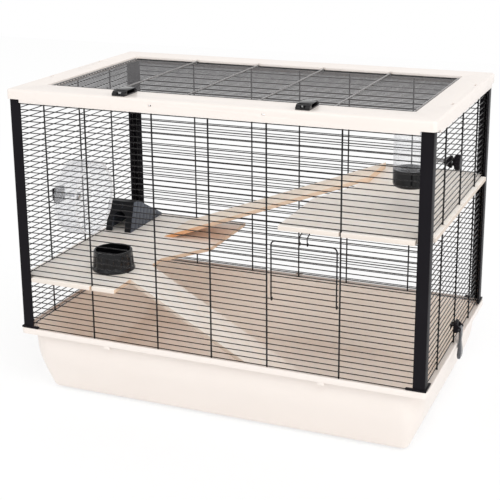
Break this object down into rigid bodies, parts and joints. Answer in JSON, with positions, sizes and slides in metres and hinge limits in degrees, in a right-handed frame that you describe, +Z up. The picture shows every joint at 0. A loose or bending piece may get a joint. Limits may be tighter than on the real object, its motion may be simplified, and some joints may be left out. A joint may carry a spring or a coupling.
{
  "type": "ferret cage",
  "caption": "Wire pet cage on a deep moulded tray, with a hinged wire lid, a front door, wooden shelves joined by ramps, a clear running wheel, a house, a bowl and a gravity feeder.",
  "frame": {"origin": "bottom centre of the cage, on the surface its tray's feet stand on", "axes": "+X to the right seen from the front, +Y to the back, +Z up"},
  "size_m": [0.8158, 0.48, 0.6157],
  "materials": {
    "cream_plastic": "semi-gloss moulded",
    "black_plastic": "satin moulded",
    "black_gloss": "glossy moulded",
    "wire": "black powder coat on round steel wire",
    "wood": "bare pale board",
    "clear_plastic": "clear polished",
    "bright_steel": "bright"
  },
  "bodies": {
    "tray": {"tray": "cream_plastic"},
    "cage": {"top_frame": "cream_plastic", "corner_posts": "black_plastic", "front_wall": "wire", "back_wall": "wire", "left_wall": "wire", "right_wall": "wire", "lid_hinge_rod": "wire", "shelf_left": "wood", "shelf_right": "wood", "ramp_upper": "wood", "ramp_lower": "wood", "clip_body_left": "black_plastic", "clip_body_right": "black_plastic", "wheel_mount": "black_plastic", "wheel_shaft": "bright_steel", "feeder_jar": "clear_plastic", "feeder_rod": "bright_steel", "feeder_cone": "black_plastic"},
    "lid": {"lid_wires": "wire", "lid_cross_wires": "wire"},
    "latch_left": {"lid_latch_left": "black_plastic"},
    "latch_right": {"lid_latch_right": "black_plastic"},
    "door": {"door_frame": "wire", "door_rows_wires": "wire"},
    "door_catch": {"door_latch": "wire"},
    "lever_left": {"clip_lever_left": "black_plastic"},
    "lever_right": {"clip_lever_right": "black_plastic"},
    "wheel": {"wheel_drum": "clear_plastic"},
    "house": {"house": "black_gloss"},
    "bowl": {"bowl": "black_gloss"},
    "cup": {"feeder_cup": "black_plastic"},
    "knob": {"feeder_knob": "black_plastic"}
  },
  "joints": [
    {"name": "cage_lift", "type": "slide", "parent": "tray", "child": "cage", "axis": [0, 0, 1], "range_m": [0, 0.2]},
    {"name": "lid_hinge", "type": "hinge", "parent": "cage", "child": "lid", "pos_m": [0, 0.1758, 0.59937], "axis": [-1, 0, 0], "range_deg": [0, 100]},
    {"name": "latch_left_slide", "type": "slide", "parent": "cage", "child": "latch_left", "axis": [0, 1, 0], "range_m": [0, 0.012]},
    {"name": "latch_right_slide", "type": "slide", "parent": "cage", "child": "latch_right", "axis": [0, 1, 0], "range_m": [0, 0.012]},
    {"name": "door_hinge", "type": "hinge", "parent": "cage", "child": "door", "pos_m": [0.176, -0.22858, 0.2653], "axis": [1, 0, 0], "range_deg": [0, 140]},
    {"name": "door_catch_hinge", "type": "hinge", "parent": "door", "child": "door_catch", "pos_m": [0.176, -0.23108, 0.3728], "axis": [1, 0, 0], "range_deg": [0, 150]},
    {"name": "lever_left_hinge", "type": "hinge", "parent": "cage", "child": "lever_left", "pos_m": [-0.4025, 0, 0.166], "axis": [0, 1, 0], "range_deg": [0, 80]},
    {"name": "lever_right_hinge", "type": "hinge", "parent": "cage", "child": "lever_right", "pos_m": [0.4025, 0, 0.166], "axis": [0, -1, 0], "range_deg": [0, 80]},
    {"name": "wheel_spin", "type": "hinge", "parent": "cage", "child": "wheel", "pos_m": [-0.33, -0.105, 0.372], "axis": [1, 0, 0], "continuous": true},
    {"name": "house_lift", "type": "slide", "parent": "cage", "child": "house", "axis": [0, 0, 1], "range_m": [0, 0.06]},
    {"name": "bowl_lift", "type": "slide", "parent": "cage", "child": "bowl", "axis": [0, 0, 1], "range_m": [0, 0.05]},
    {"name": "cup_pull", "type": "slide", "parent": "cage", "child": "cup", "axis": [0, 0, -1], "range_m": [0, 0.03]},
    {"name": "knob_turn", "type": "hinge", "parent": "cage", "child": "knob", "pos_m": [0.396, -0.06, 0.49643], "axis": [1, 0, 0], "continuous": true}
  ]
}
